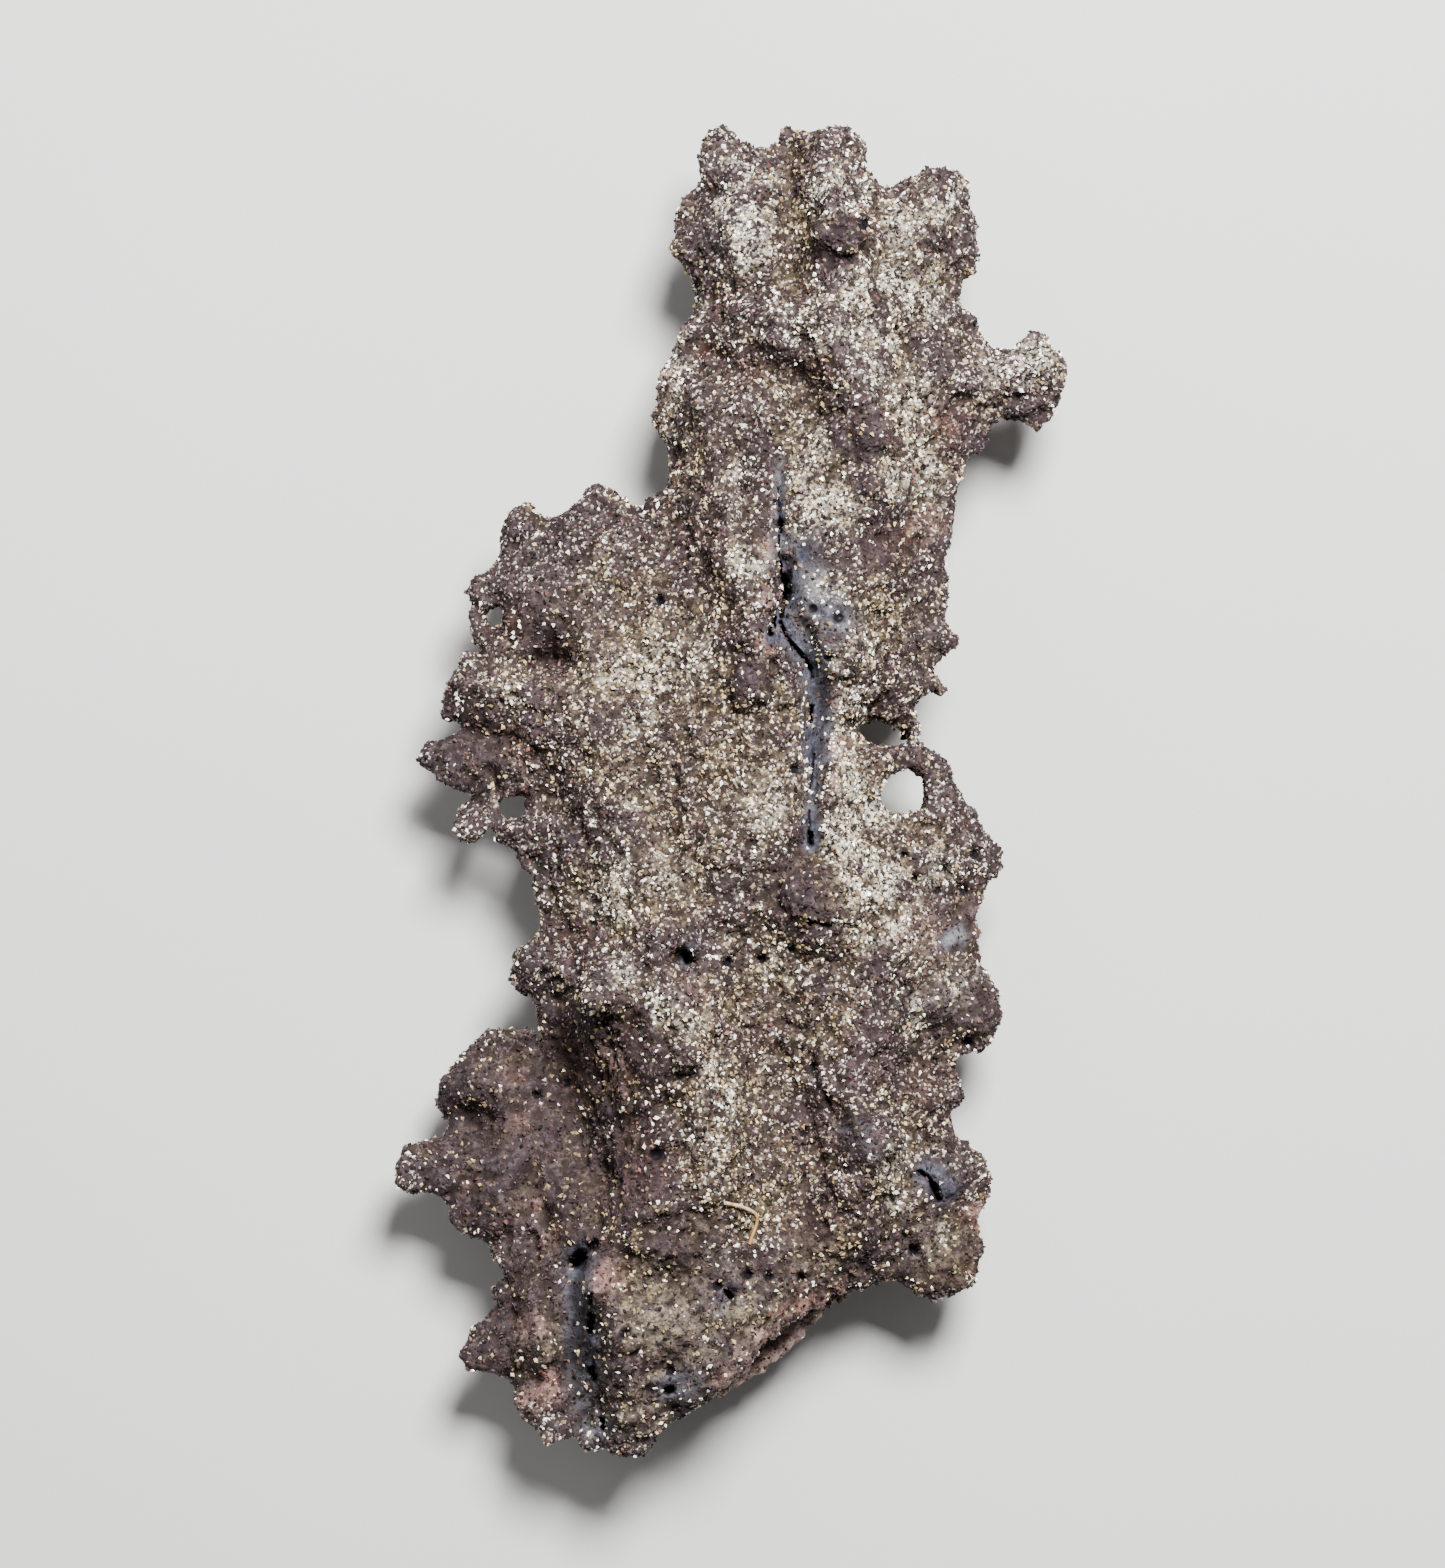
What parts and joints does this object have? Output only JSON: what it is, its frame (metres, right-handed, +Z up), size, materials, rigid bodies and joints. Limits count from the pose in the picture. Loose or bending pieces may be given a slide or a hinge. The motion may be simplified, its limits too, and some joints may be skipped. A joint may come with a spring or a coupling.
{
  "type": "fulgurite",
  "caption": "Flattened, winged branch of sand fused by lightning, with ragged thin edges, a winding glassy crack and a snapped lower end; lies on its back.",
  "frame": {"origin": "under the middle of the branch, on the surface it rests on", "axes": "+Y along the branch towards its upper end, +X across it towards the spur, +Z up, away from the surface"},
  "size_m": [0.0433, 0.0851, 0.0183],
  "materials": {
    "fused_sand": "matte"
  },
  "bodies": {
    "root": {"fulgurite": "fused_sand"}
  },
  "joints": []
}
